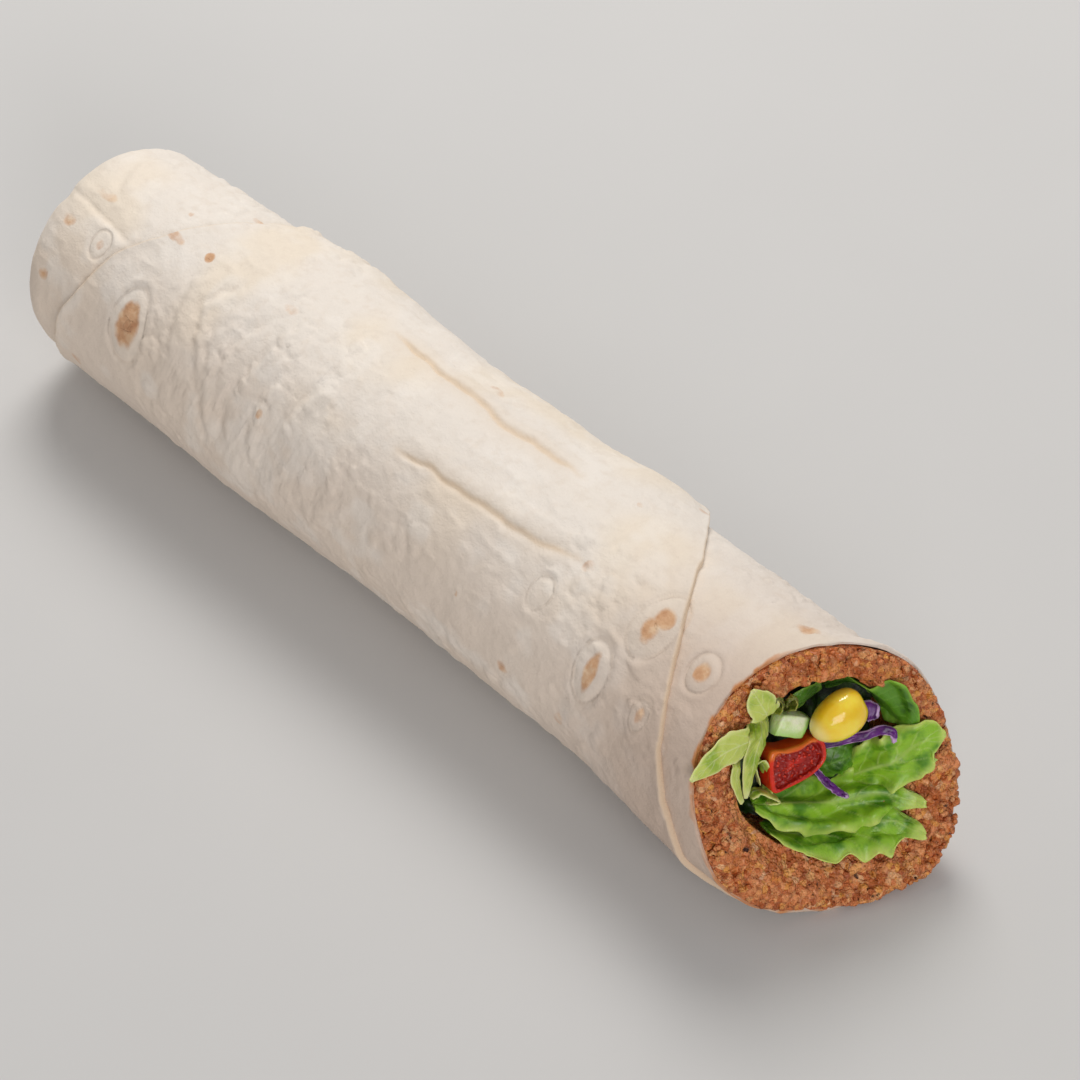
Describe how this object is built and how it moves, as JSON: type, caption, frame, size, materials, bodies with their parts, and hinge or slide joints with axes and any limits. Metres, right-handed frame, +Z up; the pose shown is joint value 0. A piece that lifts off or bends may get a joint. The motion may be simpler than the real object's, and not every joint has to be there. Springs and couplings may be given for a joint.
{
  "type": "durum wrap",
  "caption": "Long flatbread roll filled with spiced bulgur paste round a core of salad, tucked in at one end and cut off at a slant at the other.",
  "frame": {"origin": "on the table, right under the axis of the roll, half way between the tucked end and where the cut crosses the axis", "axes": "+X along the roll towards the cut end, +Z up, and the cut leans so that it faces up and towards -Y"},
  "size_m": [0.2199, 0.0535, 0.0501],
  "materials": {
    "flatbread": "matte, floury, with small toasted spots",
    "bulgur_paste": "moist and coarse-grained",
    "salad": "fresh lettuce, satin, with paler edges",
    "corn": "glossy",
    "red_pepper": "glossy skin round moist flesh",
    "cucumber": "moist"
  },
  "bodies": {
    "root": {"flatbread": "flatbread", "bulgur_paste": "bulgur_paste", "salad": "salad", "corn_kernel": "corn", "red_pepper": "red_pepper", "cucumber": "cucumber"}
  },
  "joints": []
}
